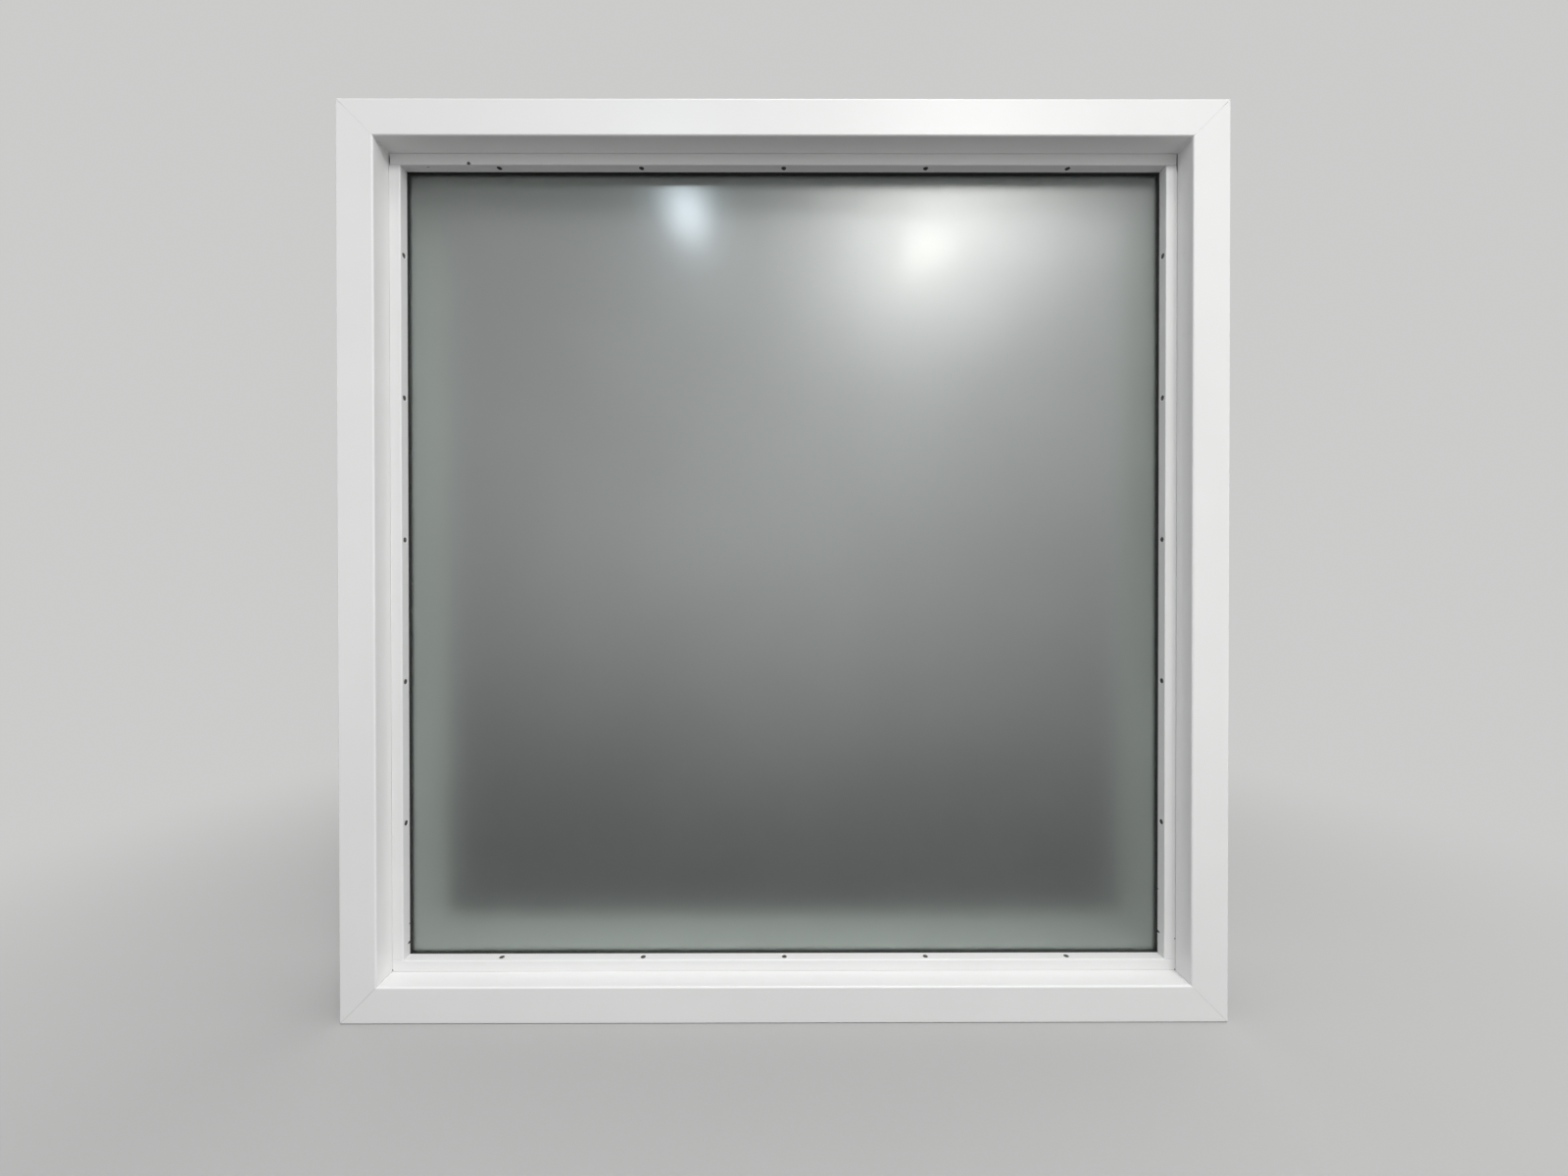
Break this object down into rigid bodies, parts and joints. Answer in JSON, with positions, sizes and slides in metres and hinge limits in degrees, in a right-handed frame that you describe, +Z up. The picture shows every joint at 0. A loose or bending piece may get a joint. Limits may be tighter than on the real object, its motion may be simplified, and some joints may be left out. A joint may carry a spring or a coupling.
{
  "type": "interior window",
  "caption": "Fixed interior window: a pressed metal frame for a framed wall, glazed with one pane of satin glass held by screwed-on channel stops.",
  "frame": {"origin": "middle of the frame's bottom edge, halfway through the wall's thickness", "axes": "+X to the right as seen from the side with the loose stops, +Y through the wall away from that side, +Z up"},
  "size_m": [1.2192, 0.146, 1.2636],
  "materials": {
    "frame_paint": "white baked enamel, satin, with a fine orange peel",
    "stop_paint": "white baked enamel, satin, as the frame",
    "screw": "zinc plated, flat head with a cross recess",
    "satin_glass": "clear float glass, satin etched, faintly green",
    "glazing_tape": "black closed-cell foam tape",
    "setting_block": "dense black rubber",
    "galvanised_steel": "bare galvanised sheet"
  },
  "bodies": {
    "root": {"anchor_head": "galvanised_steel", "anchor_jamb_left_lower": "galvanised_steel", "anchor_jamb_left_upper": "galvanised_steel", "anchor_jamb_right_lower": "galvanised_steel", "anchor_jamb_right_upper": "galvanised_steel", "anchor_sill": "galvanised_steel", "corner_bracket_bottom_left": "galvanised_steel", "corner_bracket_bottom_right": "galvanised_steel", "corner_bracket_top_left": "galvanised_steel", "corner_bracket_top_right": "galvanised_steel", "frame_head": "frame_paint", "frame_jamb_left": "frame_paint", "frame_jamb_right": "frame_paint", "frame_sill": "frame_paint", "glass": "satin_glass", "setting_block_left": "setting_block", "setting_block_right": "setting_block", "stop_bottom": "stop_paint", "stop_left": "stop_paint", "stop_right": "stop_paint", "stop_screws_bottom": "screw", "stop_screws_left": "screw", "stop_screws_right": "screw", "stop_screws_top": "screw", "stop_top": "stop_paint", "tape_far_bottom": "glazing_tape", "tape_far_left": "glazing_tape", "tape_far_right": "glazing_tape", "tape_far_top": "glazing_tape", "tape_near_bottom": "glazing_tape", "tape_near_left": "glazing_tape", "tape_near_right": "glazing_tape", "tape_near_top": "glazing_tape"}
  },
  "joints": []
}
